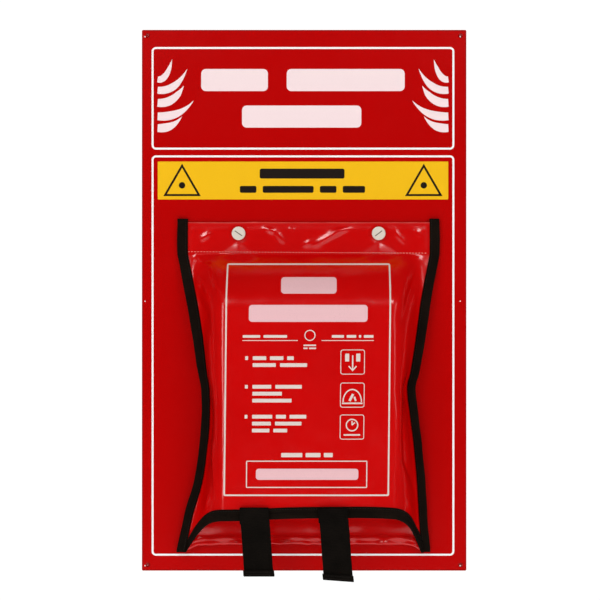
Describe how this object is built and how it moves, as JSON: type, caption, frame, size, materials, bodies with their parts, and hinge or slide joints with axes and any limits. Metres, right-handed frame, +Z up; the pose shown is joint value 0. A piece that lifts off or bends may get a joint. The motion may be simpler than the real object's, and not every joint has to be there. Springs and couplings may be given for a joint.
{
  "type": "fire blanket station",
  "caption": "Wall board with a soft open-bottomed pouch hung on studs, holding a folded fire blanket that pulls down and out by webbing tabs.",
  "frame": {"origin": "centre of the board's back face, which lies on the wall", "axes": "+Y points into the wall (the front faces -Y), +Z is up along the board's long side, +X to the right as seen from the front"},
  "size_m": [0.36, 0.0662, 0.6036],
  "materials": {
    "board_plastic": "satin red foamed PVC",
    "printed_sheet": "smooth satin red print with white and yellow shapes",
    "pouch_vinyl": "glossy soft red vinyl with white print",
    "black_tape": "fine woven black binding tape",
    "black_webbing": "flat woven black webbing",
    "hook_and_loop": "matt black hook-and-loop",
    "nickel": "bright nickel plate",
    "stud_plastic": "smooth ivory moulded plastic",
    "glass_cloth": "white woven glass-fibre cloth"
  },
  "bodies": {
    "board": {"backing_board": "board_plastic", "printed_face": "printed_sheet", "left_stud_post": "stud_plastic", "right_stud_post": "stud_plastic", "left_stud_screw": "stud_plastic", "right_stud_screw": "stud_plastic", "pouch_header": "pouch_vinyl", "left_eyelet": "nickel", "right_eyelet": "nickel", "left_header_binding": "black_tape", "right_header_binding": "black_tape"},
    "pouch": {"pouch_front": "pouch_vinyl", "pouch_back": "pouch_vinyl", "left_side_binding": "black_tape", "right_side_binding": "black_tape", "mouth_binding": "black_tape", "left_loop_patch": "hook_and_loop", "right_loop_patch": "hook_and_loop"},
    "blanket": {"folded_blanket": "glass_cloth", "left_tab_root": "black_webbing", "right_tab_root": "black_webbing", "left_hook_patch": "hook_and_loop", "right_hook_patch": "hook_and_loop"},
    "left_tab": {"left_pull_tab": "black_webbing"},
    "right_tab": {"right_pull_tab": "black_webbing"}
  },
  "joints": [
    {"name": "pouch_swing", "type": "hinge", "parent": "board", "child": "pouch", "pos_m": [0.0049, -0.0104, 0.0514], "axis": [-1, 0, 0], "range_deg": [0, 60]},
    {"name": "blanket_pull", "type": "slide", "parent": "pouch", "child": "blanket", "axis": [0, 0, -1], "range_m": [0, 0.3]},
    {"name": "left_tab_swing", "type": "hinge", "parent": "blanket", "child": "left_tab", "pos_m": [-0.0542, -0.0635, -0.22523], "axis": [-1, 0, 0], "range_deg": [0, 120]},
    {"name": "right_tab_swing", "type": "hinge", "parent": "blanket", "child": "right_tab", "pos_m": [0.0312, -0.0635, -0.22523], "axis": [-1, 0, 0], "range_deg": [0, 120]}
  ]
}
